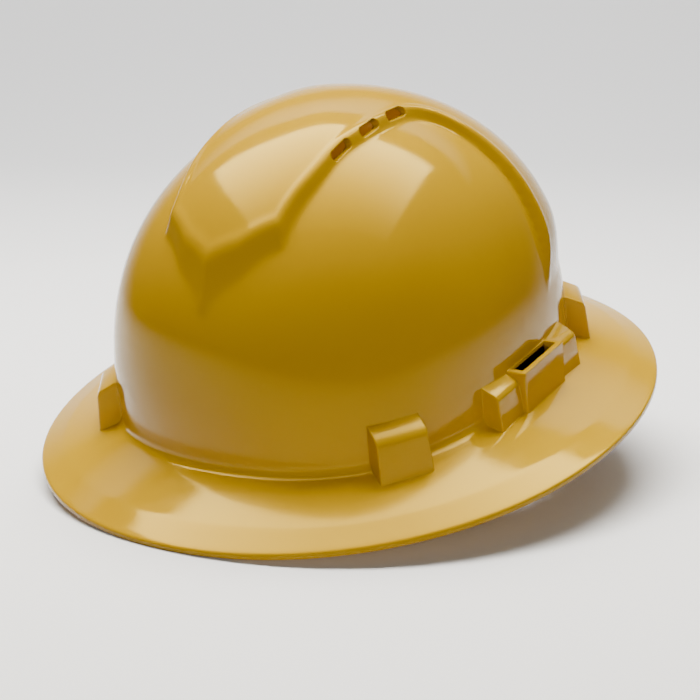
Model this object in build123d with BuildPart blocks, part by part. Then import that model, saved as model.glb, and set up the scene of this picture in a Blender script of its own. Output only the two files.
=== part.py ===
from build123d import *
import os
from math import acos, asin, atan, cos, degrees, pi, radians, sin, sqrt, tan

os.makedirs("parts", exist_ok=True)

# A full brim hard hat. The hat is drawn level: front towards -Y, the wearer's left towards +X,
# and Z = 0 where the crown meets the brim. At the end it is tipped onto the front of its brim
# and the feet of its nape cradle, as it stands on a table.

# Fits shared by several pieces
overrun = 6.0
slip = 0.3
seat_gap = 0.3
running_gap = 0.05
share_halvings = 40
quarter_turn = 90.0

# Crown of the shell
crown_half_width = 94.5
crown_half_length = 111.5
crown_height = 128.5
crown_fullness_share = 0.676
crown_side_power = 2.59
crown_top_power = 1.85
crown_sections = 10
crown_top_angle = 88.5
shell_wall = 2.5

# Brim
brim_half_width = 140.0
brim_half_length = 154.0
brim_fullness_share = 0.579
brim_drop = 13.8
brim_thickness = 2.6
brim_lip_width = 13.0
brim_lip_drop = 5.0
brim_land = 1.3
brim_root_radius = 4.5

# Raised ridge: a V at the front, a waist along the top and a cape over the back
ridge_rise = 4.0
ridge_root = 30.0
ridge_datum = 65.0
ridge_wall_angle = 23.0
ridge_nose = 105.4
ridge_tip = 100.9
ridge_tip_angle = 15.0
ridge_shoulder_x = 40.0
ridge_shoulder_y = 88.4
ridge_neck_x = 52.8
ridge_neck_y = 58.0
ridge_waist_x = 59.3
ridge_waist_y = 22.0
ridge_flare_x = 60.5
ridge_flare_y = 15.0
ridge_cape_x = 115.0
ridge_cape_y = 76.0
ridge_back = 150.0
ridge_nose_round = 12.0
ridge_shoulder_round = 7.0
ridge_neck_round = 80.0
ridge_waist_round = 140.0
ridge_flare_round = 16.0
cape_sink = 1.5
cape_low_share = 0.22
cape_high_share = 0.46

# Vents in the sides of the ridge
vent_length = 14.0
vent_height = 4.2
vent_wall_x = 35.0
vent_first_y = -35.5
vent_pitch = 20.5
vent_front_z = 118.6
vent_middle_z = 122.2
vent_rear_z = 122.6
vent_front_slope = 16.0
vent_middle_slope = 6.0
vent_rear_slope = -2.0

# Bosses that hold the hanger keys
boss_front_share = 0.46
boss_rear_share = 0.42
boss_width = 23.0
boss_reach = 9.4
boss_crest = 19.0
boss_shoulder = 15.0
boss_round = 2.2
key_window_width = 11.0
pocket_sink = 0.8

# Side blocks with the accessory slots
block_length = 75.5
block_back_shift = 2.7
block_face_x = 100.4
block_crest = 17.0
block_shoulder = 12.8
block_end_length = 19.0
socket_face_x = 103.0
socket_top = 16.8
slot_length = 32.0
slot_width = 6.0

# Headband
band_side_gap = 17.5
band_front_gap = 18.0
band_half_width = crown_half_width - band_side_gap
band_half_length = crown_half_length - band_front_gap
band_fullness_share = 0.6
band_wall = 1.8
band_top = 6.0
band_bottom = -20.0
band_back_end = 68.0
band_travel = 10.0
tab_width = 16.0
tab_wall = 2.2
tab_edge = 3.0
lug_width = 12.0
lug_drop = 9.0
lug_hole_radius = 2.0
lug_share = 0.12
stop_length = 10.0
stop_height = 4.0
stop_setback = 14.0
pivot_boss_radius = 7.0
pivot_seat_wall = 3.0

# Hanger keys
key_plate_width = 17.4
key_plate_wall = 4.0
key_plate_bottom = -2.0
key_standoff = 3.4
key_flange_width = 24.0
key_flange_wall = 2.6
key_flange_bottom = -6.0
key_flange_top = 24.5
eye_bottom = 16.5
eye_bar = 3.5
stud_height = 4.0
stud_radius = 2.5
stud_boss_radius = 5.0
stud_head_radius = 4.3
stud_head_wall = 1.5

# Crown straps and their pad
strap_width = 16.0
strap_wall = 1.2
strap_apex = 92.0
strap_steps = 12
strap_arch_power = 0.8
crown_pad_radius = 27.0
crown_pad_wall = 5.0

# Brow pad
brow_pad_wall = 5.0
brow_pad_top = 10.0
brow_pad_bottom = -24.0
brow_pad_end_y = -73.0
pad_round = 2.0

# Nape unit: a cradle with a ratchet, on two toothed arms that swing on side pins
pin_y = 25.0
pin_z = -8.0
pin_radius = 2.5
pin_head_radius = 5.0
pin_head_wall = 1.6
pin_tail_radius = 4.0
nape_drop_angle = 28.0
arm_standoff = 5.5
arm_radius = band_half_width + arm_standoff
arm_wall = 1.8
arm_height = 18.0
arm_gap = 0.4
arm_front_overhang = 14.5
arm_tail_angle = 18.0
arm_end_round = 6.0

# Rack and pinion
tooth_module = 1.25
pinion_teeth = 8
pressure_angle = 25.0
addendum = 0.75
dedendum = 1.0
backlash = 0.4
rack_teeth_each_side = 4
knob_half_turn = 90.0
flank_steps = 4
pinion_stem_radius = 3.4
pinion_tail_radius = 2.5
pinion_hex_radius = 3.1
pinion_hex_length = 6.8

# Ratchet housing, cradle and knob
cradle_wall = 2.0
cradle_span_angle = 33.0
cradle_top = 16.5
cradle_middle_drop = 17.0
cradle_corner_round = 6.0
cradle_foot_drop = 24.5
cradle_foot_x = 30.0
cradle_foot_radius = 9.0
settling_steps = 4
housing_wall = 2.1
housing_span_angle = 27.0
channel_end_angle = 1.0
housing_rim = 2.2
hub_radius = 11.5
hub_rise = 1.6
detent_count = 16
detent_ring_radius = 9.2
detent_radius = 0.9
detent_depth = 0.4
screw_angle = 22.5
screw_radius = 1.3
screw_head_radius = 2.4
screw_head_wall = 0.9
screw_drive_radius = 1.2
screw_drive_depth = 0.5
screw_boss_radius = 3.2
screw_length = 6.0
knob_radius = 16.0
knob_depth = 10.5
knob_cavity_radius = 12.2
knob_cavity_depth = 3.4
knob_floor_wall = 1.0
knob_grips = 14
knob_grip_radius = 2.2
knob_grip_shift = 0.7
knob_edge_round = 1.2
knob_screw_radius = 1.4
knob_screw_head_radius = 2.8
knob_screw_head_wall = 1.6
click_radius = 11.0
click_wall = 0.8
click_tongues = 3
click_slot_width = 1.6
click_slot_angle = 70.0
nape_pad_wall = 5.0
nape_pad_top = 14.0
nape_pad_bottom = -15.0
nape_pad_span_angle = 29.0


def oval(half_width, half_length, fullness_share):
    """A closed oval of four curves; a fullness of 0.552 is an ellipse and more is squarer."""
    with BuildLine(mode=Mode.PRIVATE) as outline:
        for turn_x, turn_y in [(1, 1), (-1, 1), (-1, -1), (1, -1)]:
            side = (turn_x * half_width, 0)
            side_pull = (turn_x * half_width, turn_y * fullness_share * half_length)
            end_pull = (turn_x * fullness_share * half_width, turn_y * half_length)
            end = (0, turn_y * half_length)
            Bezier(side, side_pull, end_pull, end)
    return outline.line


def oval_station(half_width, half_length, fullness_share, share):
    """Point and outward direction on an oval's quarter, from its side at 0 to its end at 1."""
    rest = 1 - share
    across = rest**3 + 3 * rest**2 * share + 3 * rest * share**2 * fullness_share
    along = 3 * rest**2 * share * fullness_share + 3 * rest * share**2 + share**3
    across_rate = 2 * rest * share * (fullness_share - 1) - share**2 * fullness_share
    along_rate = rest**2 * fullness_share + 2 * rest * share * (1 - fullness_share)
    normal = Vector(half_length * along_rate, -half_width * across_rate, 0).normalized()
    return Vector(half_width * across, half_length * along, 0), normal


def share_along(fullness_share, reach_share):
    """Where on an oval's quarter it has come a share of the way along."""
    low, high = 0, 1
    for halving in range(share_halvings):
        share = (low + high) / 2
        along = oval_station(1, 1, fullness_share, share)[0].Y
        low, high = (share, high) if along < reach_share else (low, share)
    return share


def crown_reach(height_share):
    """How far out the crown still is at a share of its height."""
    return (1 - height_share**crown_side_power) ** (1 / crown_top_power)


def cape_grow(height_share):
    """How far the raised surface stands out of the crown at a share of its height."""
    rise_share = (height_share - cape_low_share) / (cape_high_share - cape_low_share)
    return -cape_sink + (ridge_rise + cape_sink) * min(1, max(0, rise_share))


def crown_solid(height, grow):
    """The crown as a solid, from its root to its top; grow gives its outset at each height."""
    with BuildPart() as solid:
        for step in range(crown_sections):
            height_share = sin(radians(crown_top_angle * step / (crown_sections - 1)))
            out = grow(height_share)
            reach = crown_reach(height_share)
            with BuildSketch(Plane.XY.offset(height * height_share)):
                with BuildLine():
                    add(oval((crown_half_width + out) * reach, (crown_half_length + out) * reach,
                             crown_fullness_share))
                make_face()
        loft()
    return solid.part


def ridge_prism(inset, floor):
    """The ridge's plan, drawn at its datum height and drafted from below the cape to the top."""
    right = [(ridge_shoulder_x, -ridge_shoulder_y), (ridge_neck_x, -ridge_neck_y),
             (ridge_waist_x, -ridge_waist_y), (ridge_flare_x, ridge_flare_y),
             (ridge_cape_x, ridge_cape_y), (ridge_cape_x, ridge_back)]
    left = [(-x, y) for x, y in reversed(right)]
    draft = tan(radians(ridge_wall_angle))
    rounds = {ridge_nose: ridge_nose_round, ridge_shoulder_y: ridge_shoulder_round,
              ridge_neck_y: ridge_neck_round, ridge_waist_y: ridge_waist_round,
              -ridge_flare_y: ridge_flare_round}
    height = crown_height + ridge_rise + overrun - floor
    with BuildPart() as prism:
        with BuildSketch(Plane.XY.offset(floor)) as plan:
            with BuildLine():
                Polyline((0, -ridge_nose), *right, *left, close=True)
            make_face()
            for place, radius in rounds.items():
                corners = plan.vertices().filter_by(lambda v: abs(v.Y + place) < slip)
                fillet(corners, radius)
            offset(amount=draft * (ridge_datum - floor) - inset, kind=Kind.INTERSECTION)
        extrude(amount=height, taper=ridge_wall_angle)
    # The V's lower tip is blunted by a steeper face
    tip_front = ridge_tip - inset + tan(radians(ridge_tip_angle)) * (ridge_datum - floor)
    with BuildPart() as blunt:
        with BuildSketch(Plane.XY.offset(floor)):
            with Locations((0, -tip_front)):
                Rectangle(4 * ridge_back, 4 * ridge_back, align=(Align.CENTER, Align.MIN))
        extrude(amount=height, taper=ridge_tip_angle)
    return prism.part & blunt.part


def frustum(levels):
    """A solid through flat ovals, each given as half width, half length, fullness and height."""
    with BuildPart() as solid:
        for half_width, half_length, fullness_share, height in levels:
            with BuildSketch(Plane.XY.offset(height)):
                with BuildLine():
                    add(oval(half_width, half_length, fullness_share))
                make_face()
        loft(ruled=True)
    return solid.part


def brim_solid(inset, drop):
    """The brim's cone with its steeper lip; drop lowers it and inset draws its rim in."""
    lip_fullness_share = (3 * brim_fullness_share + crown_fullness_share) / 4
    rim_x = brim_half_width - inset
    rim_y = brim_half_length - inset
    floor = -brim_drop - brim_thickness - drop
    return frustum([
        (rim_x, rim_y, brim_fullness_share, floor),
        (rim_x, rim_y, brim_fullness_share, -brim_drop - drop),
        (brim_half_width - brim_lip_width, brim_half_length - brim_lip_width,
         lip_fullness_share, -brim_drop + brim_lip_drop - drop),
        (crown_half_width, crown_half_length, crown_fullness_share, -drop),
    ])


def profile_block(plane, points, width, round_radius):
    """A block whose profile stands in the plane, drawn out evenly to both sides."""
    with BuildPart() as block:
        with BuildSketch(plane):
            with BuildLine():
                Polyline(*points, close=True)
            make_face()
        extrude(amount=width / 2, both=True)
        if round_radius:
            outer = block.edges().filter_by(lambda e: (e @ 0.5 - plane.origin).dot(plane.x_dir) > slip)
            fillet(outer, round_radius)
    return block.part


def upright(origin, outward):
    """A plane whose x runs outward and whose y runs up."""
    return Plane(origin=origin, x_dir=outward, z_dir=outward.cross(Vector(0, 0, 1)))


def facing_out(plane, start):
    """The same plane turned to face along its own x, with y still up, at a start along that x."""
    return Plane(origin=plane.origin + plane.x_dir * start, x_dir=-plane.z_dir, z_dir=plane.x_dir)


brim_slope = brim_drop / (brim_half_width - crown_half_width)

# Each key has a station: a plane on the crown's wall, x outward and y up, and its run to the band
stations = {}
for end_name, share, turn_y in [("front", boss_front_share, -1), ("rear", boss_rear_share, 1)]:
    wall_point, outward = oval_station(crown_half_width, crown_half_length,
                                       crown_fullness_share, share)
    band_point, _ = oval_station(band_half_width, band_half_length, band_fullness_share, share)
    run = (wall_point - band_point).dot(outward)
    for side_name, turn_x in [("left", 1), ("right", -1)]:
        place = Vector(turn_x * wall_point.X, turn_y * wall_point.Y, 0)
        facing = Vector(turn_x * outward.X, turn_y * outward.Y, 0)
        stations[end_name + "_" + side_name] = (upright(place, facing), run)

# Shell: crown, brim, ridge, bosses and accessory sockets in one moulding
with BuildPart() as shell:
    add(crown_solid(crown_height, lambda s: 0))
    add(brim_solid(0, 0))
    root = shell.edges().filter_by(lambda e: abs(e.bounding_box().min.Z) < running_gap
                                   and abs(e.bounding_box().max.Z) < running_gap)
    fillet(root, brim_root_radius)
    raised = crown_solid(crown_height + ridge_rise, cape_grow)
    add(raised & ridge_prism(0, ridge_root))
    for plane, run in stations.values():
        add(profile_block(plane, [
            (-shell_wall, -brim_thickness / 2), (boss_reach, -brim_slope * boss_reach - brim_thickness / 2),
            (boss_reach, 0), (boss_reach - boss_round / 2, boss_shoulder),
            (0, boss_crest), (-shell_wall, boss_crest)], boss_width, boss_round))
    for turn in (1, -1):
        wall_x = turn * crown_half_width
        socket_plane = upright(Vector(wall_x, block_back_shift, 0), Vector(turn, 0, 0))
        block_reach = block_face_x - crown_half_width
        socket_reach = socket_face_x - crown_half_width
        root_depth = crown_half_width * (1 - cos(asin(block_length / 2 / crown_half_length)))
        root_depth = root_depth + shell_wall / 2
        add(profile_block(socket_plane, [
            (-root_depth, -brim_thickness / 2), (block_reach, -brim_slope * block_reach - brim_thickness / 2),
            (block_reach, 0), (block_reach - boss_round / 2, block_shoulder),
            (-root_depth / 2, block_crest), (-root_depth, block_crest)], block_length, boss_round))
        add(profile_block(socket_plane, [
            (-shell_wall, -brim_thickness / 2),
            (socket_reach, -brim_slope * socket_reach - brim_thickness / 2),
            (socket_reach, socket_top), (-shell_wall, socket_top)],
            block_length - 2 * block_end_length, boss_round / 2))

    # The hollow: brim's underside, crown and ridge, each a wall inside the outer surface
    inner_root = brim_thickness + overrun
    add(brim_solid(brim_land, brim_thickness), mode=Mode.SUBTRACT)
    add(crown_solid(crown_height - shell_wall, lambda s: -shell_wall), mode=Mode.SUBTRACT)
    with BuildSketch(Plane.XY.offset(-inner_root)):
        with BuildLine():
            add(oval(crown_half_width - shell_wall, crown_half_length - shell_wall, crown_fullness_share))
        make_face()
    extrude(amount=inner_root, mode=Mode.SUBTRACT)
    raised_inner = crown_solid(crown_height + ridge_rise - shell_wall, lambda s: cape_grow(s) - shell_wall)
    add(raised_inner & ridge_prism(shell_wall, ridge_root), mode=Mode.SUBTRACT)

    # Vents through the sides of the ridge
    for turn in (1, -1):
        for place, vent_z, vent_slope in [(0, vent_front_z, vent_front_slope),
                                          (1, vent_middle_z, vent_middle_slope),
                                          (2, vent_rear_z, vent_rear_slope)]:
            vent_y = vent_first_y + place * vent_pitch
            along = Vector(0, cos(radians(vent_slope)), sin(radians(vent_slope)))
            vent_plane = Plane(origin=(turn * vent_wall_x, vent_y, vent_z), x_dir=along, z_dir=(turn, 0, 0))
            with BuildSketch(vent_plane):
                SlotOverall(vent_length, vent_height)
            extrude(amount=overrun, both=True, mode=Mode.SUBTRACT)

    # Pockets behind the bosses, open below, with a narrower window through the crown's wall
    pocket_top = boss_shoulder - shell_wall
    for plane, run in stations.values():
        pocket_depth = boss_reach - shell_wall
        for near, far, width in [(-pocket_sink, pocket_depth, boss_width - 2 * shell_wall),
                                 (-shell_wall - overrun, pocket_sink, key_window_width)]:
            add(profile_block(plane, [
                (near, -inner_root), (far, -inner_root), (far, pocket_top), (near, pocket_top)],
                width, 0), mode=Mode.SUBTRACT)

    # Accessory slots, open at the top and through the brim
    slot_x = socket_face_x - shell_wall - slot_width / 2
    with BuildSketch(Plane.XY.offset(-inner_root)):
        with Locations((slot_x, block_back_shift), (-slot_x, block_back_shift)):
            Rectangle(slot_width, slot_length)
    extrude(amount=inner_root + socket_top + overrun, mode=Mode.SUBTRACT)
shell.part.label = "shell"

# Frame of the nape unit, from the side pins: x across, y back and down, z up and back
nape = Plane(origin=(0, pin_y, pin_z), x_dir=(1, 0, 0),
             z_dir=(0, sin(radians(nape_drop_angle)), cos(radians(nape_drop_angle))))
inner_arm = (arm_radius - arm_gap / 2 - arm_wall, arm_radius - arm_gap / 2)
outer_arm = (arm_radius + arm_gap / 2, arm_radius + arm_gap / 2 + arm_wall)
channel_near = inner_arm[0] - arm_gap
channel_far = outer_arm[1] + arm_gap
channel_half = arm_height / 2 + arm_gap
pitch_radius = tooth_module * pinion_teeth / 2
arm_travel = radians(knob_half_turn) * pitch_radius
pin_share = share_along(band_fullness_share, pin_y / band_half_length)
pin_band_x = oval_station(band_half_width, band_half_length, band_fullness_share, pin_share)[0].X


def disc(plane, start, end, radius, middle=(0, 0)):
    """A round solid along a plane's normal, between two distances from the plane."""
    with BuildPart() as solid:
        with BuildSketch(plane.offset(start)):
            with Locations(middle):
                Circle(radius)
        extrude(amount=end - start)
    return solid.part


def nape_plate(near, far, start_angle, end_angle, low, high):
    """A curved plate about the nape unit's z, between two radii, angles and heights."""
    with BuildPart() as plate:
        with BuildSketch(nape.offset(low)):
            with BuildLine():
                outer = CenterArc((0, 0), far, start_angle, end_angle - start_angle)
                inner = CenterArc((0, 0), near, start_angle, end_angle - start_angle)
                Line(outer @ 0, inner @ 0)
                Line(outer @ 1, inner @ 1)
            make_face()
        extrude(amount=high - low)
    return plate.part


def nape_facing(angle):
    """A plane through the nape unit's z that faces out at an angle round it, y along z."""
    out = nape.x_dir * cos(radians(angle)) + nape.y_dir * sin(radians(angle))
    return Plane(origin=nape.origin, x_dir=nape.z_dir.cross(out), z_dir=out)


# Headband: a C round the forehead and sides, with a slotted tab at each key
with BuildPart() as headband:
    with BuildSketch(Plane.XY.offset(band_bottom)):
        with BuildLine():
            add(oval(band_half_width, band_half_length, band_fullness_share))
        make_face()
    extrude(amount=band_top - band_bottom)
    for turn, (near, far) in [(1, inner_arm), (-1, outer_arm)]:
        # Boss for the pivot pin, and the stop that the swinging arm comes up against
        side = Plane(origin=(0, pin_y, pin_z), x_dir=(0, 1, 0), z_dir=(turn, 0, 0))
        add(disc(side, pin_band_x / 2, near - 2 * slip, pivot_boss_radius))
        with BuildSketch(nape.offset(arm_height / 2 + slip)):
            with Locations((turn * far / 2, stop_setback)):
                Rectangle(far, stop_length)
        extrude(amount=stop_height)
    with BuildSketch(Plane.XY.offset(band_bottom - overrun)):
        with BuildLine():
            add(oval(band_half_width - band_wall, band_half_length - band_wall, band_fullness_share))
        make_face()
    extrude(amount=band_top - band_bottom + 2 * overrun, mode=Mode.SUBTRACT)
    with BuildSketch(Plane.XY.offset(band_bottom - overrun)):
        with Locations((0, band_back_end)):
            Rectangle(2 * band_half_width, band_half_length, align=(Align.CENTER, Align.MIN))
    extrude(amount=band_top - band_bottom + 2 * overrun, mode=Mode.SUBTRACT)
    for plane, run in stations.values():
        tab_top = stud_height + band_travel + stud_radius + slip + tab_edge
        add(profile_block(plane, [
            (-run - tab_wall, band_bottom / 2), (-run, band_bottom / 2), (-run, tab_top),
            (-run - tab_wall, tab_top)], tab_width, 0))
        with BuildSketch(facing_out(plane, -run)):
            with Locations((0, stud_height + band_travel / 2)):
                SlotOverall(band_travel + 2 * (stud_radius + slip), 2 * (stud_radius + slip),
                            rotation=quarter_turn)
        extrude(amount=overrun, both=True, mode=Mode.SUBTRACT)
    for turn, (near, far) in [(1, inner_arm), (-1, outer_arm)]:
        # Lug for a chin strap's hook, below the band ahead of the ear
        lug_point, lug_facing = oval_station(band_half_width, band_half_length,
                                             band_fullness_share, lug_share)
        lug_plane = upright(Vector(turn * lug_point.X, -lug_point.Y, 0),
                            Vector(turn * lug_facing.X, -lug_facing.Y, 0))
        add(profile_block(lug_plane, [
            (-band_wall, band_bottom + band_wall), (0, band_bottom + band_wall),
            (0, band_bottom - lug_drop), (-band_wall, band_bottom - lug_drop)], lug_width, 0))
        add(disc(facing_out(lug_plane, 0), -overrun, overrun, lug_hole_radius,
                 (0, band_bottom - lug_drop / 2)), mode=Mode.SUBTRACT)
        # Hole for the pin, with a flat seat inside for its tail
        side = Plane(origin=(0, pin_y, pin_z), x_dir=(0, 1, 0), z_dir=(turn, 0, 0))
        add(disc(side, pin_band_x / 2, far, pin_radius + running_gap), mode=Mode.SUBTRACT)
        add(disc(side, pin_band_x / 2, near - 2 * slip - pivot_seat_wall, pin_tail_radius + slip),
            mode=Mode.SUBTRACT)
headband.part.label = "headband"

# Brow pad: a soft strip inside the front of the headband
with BuildPart() as brow_pad:
    for inset, mode in [(band_wall + seat_gap, Mode.ADD),
                        (band_wall + seat_gap + brow_pad_wall, Mode.SUBTRACT)]:
        with BuildSketch(Plane.XY.offset(brow_pad_bottom)):
            with BuildLine():
                add(oval(band_half_width - inset, band_half_length - inset, band_fullness_share))
            make_face()
        extrude(amount=brow_pad_top - brow_pad_bottom, mode=mode)
    with BuildSketch(Plane.XY.offset(brow_pad_bottom)):
        with Locations((0, brow_pad_end_y)):
            Rectangle(2 * band_half_width, 2 * band_half_length, align=(Align.CENTER, Align.MIN))
    extrude(amount=brow_pad_top - brow_pad_bottom, mode=Mode.SUBTRACT)
    fillet(brow_pad.edges(), pad_round)
brow_pad.part.label = "brow_pad"

# Hanger keys: a plate in the shell's pocket, a flange inside with an eye, a stud for the band
flange_out = -shell_wall - key_standoff
flange_in = flange_out - key_flange_wall
plate_top = pocket_top - slip
keys = {}
for station_name, (plane, run) in stations.items():
    with BuildPart() as key:
        for near, far, low, high, width in [
                (slip, slip + key_plate_wall, key_plate_bottom, plate_top, key_plate_width),
                (flange_out - slip, 2 * slip, key_plate_bottom, plate_top,
                 key_window_width - 2 * slip),
                (flange_in, flange_out, key_flange_bottom, key_flange_top, key_flange_width)]:
            add(profile_block(plane, [(near, low), (far, low), (far, high), (near, high)], width, 0))
        eye_top = key_flange_top - eye_bar
        add(profile_block(plane, [
            (flange_in - slip, eye_bottom), (flange_out + slip, eye_bottom),
            (flange_out + slip, eye_top), (flange_in - slip, eye_top)],
            strap_width + 2 * slip, 0), mode=Mode.SUBTRACT)
        tab_near = run - seat_gap
        tab_far = run + tab_wall + seat_gap
        for start, end, radius in [(-flange_in - slip, tab_near, stud_boss_radius),
                                   (tab_near - slip, tab_far + slip, stud_radius),
                                   (tab_far, tab_far + stud_head_wall, stud_head_radius)]:
            add(disc(facing_out(plane, 0), -end, -start, radius, (0, stud_height)))
    key.part.label = "key_" + station_name
    keys[key.part.label] = key

# Crown straps: webbing from key to key over the head, looped through each key's eye
loop_near = flange_in - slip - strap_wall
loop_far = flange_out + slip + strap_wall
loop_low = key_flange_top - eye_bar - slip - strap_wall
loop_high = key_flange_top + slip + strap_wall
loop_outer = [(loop_near, loop_low), (loop_far, loop_low), (loop_far, loop_high),
              (loop_near, loop_high)]
loop_inner = [(loop_near + strap_wall, loop_low + strap_wall),
              (loop_far - strap_wall, loop_low + strap_wall),
              (loop_far - strap_wall, loop_high - strap_wall),
              (loop_near + strap_wall, loop_high - strap_wall)]
straps = {}
for strap_name, front_name, rear_name, lift in [
        ("crown_strap_lower", "front_left", "rear_right", 0),
        ("crown_strap_upper", "front_right", "rear_left", strap_wall + seat_gap)]:
    with BuildPart() as strap:
        feet = []
        for station_name in (front_name, rear_name):
            plane, run = stations[station_name]
            add(profile_block(plane, loop_outer, strap_width, 0))
            add(profile_block(plane, loop_inner, strap_width, 0), mode=Mode.SUBTRACT)
            feet.append(plane.origin + plane.x_dir * (loop_near + (strap_wall + slip) / 2))
        front_across = stations[front_name][0].z_dir
        rear_across = stations[rear_name][0].z_dir
        if front_across.dot(rear_across) < 0:
            rear_across = -rear_across
        foot_z = loop_high - strap_wall
        arch_rise = strap_apex + lift - foot_z
        for step in range(strap_steps + 1):
            turn = pi * step / strap_steps
            share = (1 - cos(turn)) / 2
            level = feet[0] * (1 - share) + feet[1] * share
            height = foot_z
            along = Vector(0, 0, cos(turn))
            if 0 < step < strap_steps:
                height = foot_z + arch_rise * sin(turn) ** strap_arch_power
                climb = strap_arch_power * sin(turn) ** (strap_arch_power - 1) * cos(turn)
                ahead = (feet[1] - feet[0]) * (sin(turn) / 2)
                along = Vector(ahead.X, ahead.Y, arch_rise * climb).normalized()
            across = (front_across * (1 - share) + rear_across * share)
            across = (across - along * across.dot(along)).normalized()
            with BuildSketch(Plane(origin=(level.X, level.Y, height), x_dir=across, z_dir=along)):
                Rectangle(strap_width, strap_wall)
        loft()
    strap.part.label = strap_name
    straps[strap_name] = strap

# Crown pad: a soft round pad under the place where the straps cross
with BuildPart() as crown_pad:
    pad_top = strap_apex - strap_wall / 2 - 2 * seat_gap
    span = (stations["front_left"][0].origin - stations["rear_right"][0].origin).length
    bend_radius = (span / 2) ** 2 / (strap_arch_power * (strap_apex - loop_high))
    pad_sag = crown_pad_radius**2 / 2 / bend_radius
    with BuildSketch(Plane.XZ):
        with BuildLine():
            ThreePointArc((0, pad_top), (crown_pad_radius / 2, pad_top - pad_sag / 4),
                          (crown_pad_radius, pad_top - pad_sag))
            Polyline((crown_pad_radius, pad_top - pad_sag),
                     (crown_pad_radius, pad_top - pad_sag - crown_pad_wall),
                     (0, pad_top - crown_pad_wall), (0, pad_top))
        make_face()
    revolve(axis=Axis.Z)
    rims = crown_pad.edges().filter_by(GeomType.CIRCLE).filter_by(lambda e: e.is_closed)
    fillet(rims, pad_round)
crown_pad.part.label = "crown_pad"


def rack_outline(up):
    """The rack slot's outline: teeth on its long edge on the up side, plain on the other."""
    slope = tan(radians(pressure_angle))
    pitch = pi * tooth_module
    half_tooth = (pitch / 2 - backlash) / 2
    tip = pitch_radius - addendum
    root = pitch_radius + dedendum
    points = []
    for tooth in range(-rack_teeth_each_side, rack_teeth_each_side + 1):
        middle = tooth * pitch
        points.append((middle - half_tooth - slope * dedendum, root))
        points.append((middle - half_tooth + slope * addendum, tip))
        points.append((middle + half_tooth - slope * addendum, tip))
        points.append((middle + half_tooth + slope * dedendum, root))
    end = (rack_teeth_each_side + 1) * pitch
    plain = -pitch_radius - addendum - slip
    points = [(-end, plain), (-end, root)] + points + [(end, root), (end, plain)]
    return [(x, up * y) for x, y in points]


def pinion_outline():
    """The pinion's outline, with involute flanks in short straight steps."""
    base = pitch_radius * cos(radians(pressure_angle))
    tip = pitch_radius + addendum
    root = pitch_radius - dedendum
    start = tan(radians(pressure_angle)) - radians(pressure_angle)
    flank = []
    for step in range(flank_steps + 1):
        reach = base + (tip - base) * step / flank_steps
        roll = acos(base / reach)
        flank.append((reach, pi / 2 / pinion_teeth + start - tan(roll) + roll))
    flank = [(root, flank[0][1])] + flank
    points = []
    for tooth in range(pinion_teeth):
        middle = 2 * pi * (tooth + 1 / 2) / pinion_teeth
        points += [(reach * cos(middle - half), reach * sin(middle - half)) for reach, half in flank]
        points += [(reach * cos(middle + half), reach * sin(middle + half))
                   for reach, half in reversed(flank)]
    return points


# Arms: each swings on its side pin and runs round the back, where its slot is a rack
rear = nape_facing(quarter_turn)
arms = {}
for arm_name, turn, (near, far) in [("arm_left", 1, inner_arm), ("arm_right", -1, outer_arm)]:
    overhang = degrees(arm_front_overhang / arm_radius)
    start_angle = -overhang if turn > 0 else quarter_turn - arm_tail_angle
    end_angle = quarter_turn + arm_tail_angle if turn > 0 else 2 * quarter_turn + overhang
    side = Plane(origin=(0, pin_y, pin_z), x_dir=nape.y_dir, z_dir=(turn, 0, 0))
    with BuildPart() as arm:
        add(nape_plate(near, far, start_angle, end_angle, -arm_height / 2, arm_height / 2))
        ends = arm.edges().filter_by(GeomType.LINE).filter_by(
            lambda e: e.length < arm_height / 2)
        fillet(ends, arm_end_round)
        with BuildSketch(rear.offset(near * cos(radians(arm_tail_angle)) - slip)):
            with BuildLine():
                Polyline(*rack_outline(turn), close=True)
            make_face()
        extrude(amount=far - near * cos(radians(arm_tail_angle)) + 2 * slip, mode=Mode.SUBTRACT)
        with BuildSketch(side.offset(near / 2)):
            SlotOverall(2 * (arm_travel + pin_radius + slip), 2 * (pin_radius + slip))
        extrude(amount=far, mode=Mode.SUBTRACT)
    arm.part.label = arm_name
    arms[arm_name] = arm

# Pivot pins: through the headband's boss and the arm's slot, with a wide head outside
pins = {}
for pin_name, turn, (near, far) in [("pivot_pin_left", 1, inner_arm),
                                    ("pivot_pin_right", -1, outer_arm)]:
    side = Plane(origin=(0, pin_y, pin_z), x_dir=(0, 1, 0), z_dir=(turn, 0, 0))
    seat = near - 2 * slip - pivot_seat_wall
    with BuildPart() as pin:
        add(disc(side, seat - pin_head_wall, seat, pin_tail_radius))
        add(disc(side, seat - slip, far + 2 * slip, pin_radius))
        add(disc(side, far + slip, far + slip + pin_head_wall, pin_head_radius))
        outer = pin.faces().sort_by(Axis.X)[-1 if turn > 0 else 0]
        fillet(outer.edges(), pin_head_wall / 2)
    pin.part.label = pin_name
    pins[pin_name] = pin

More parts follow.
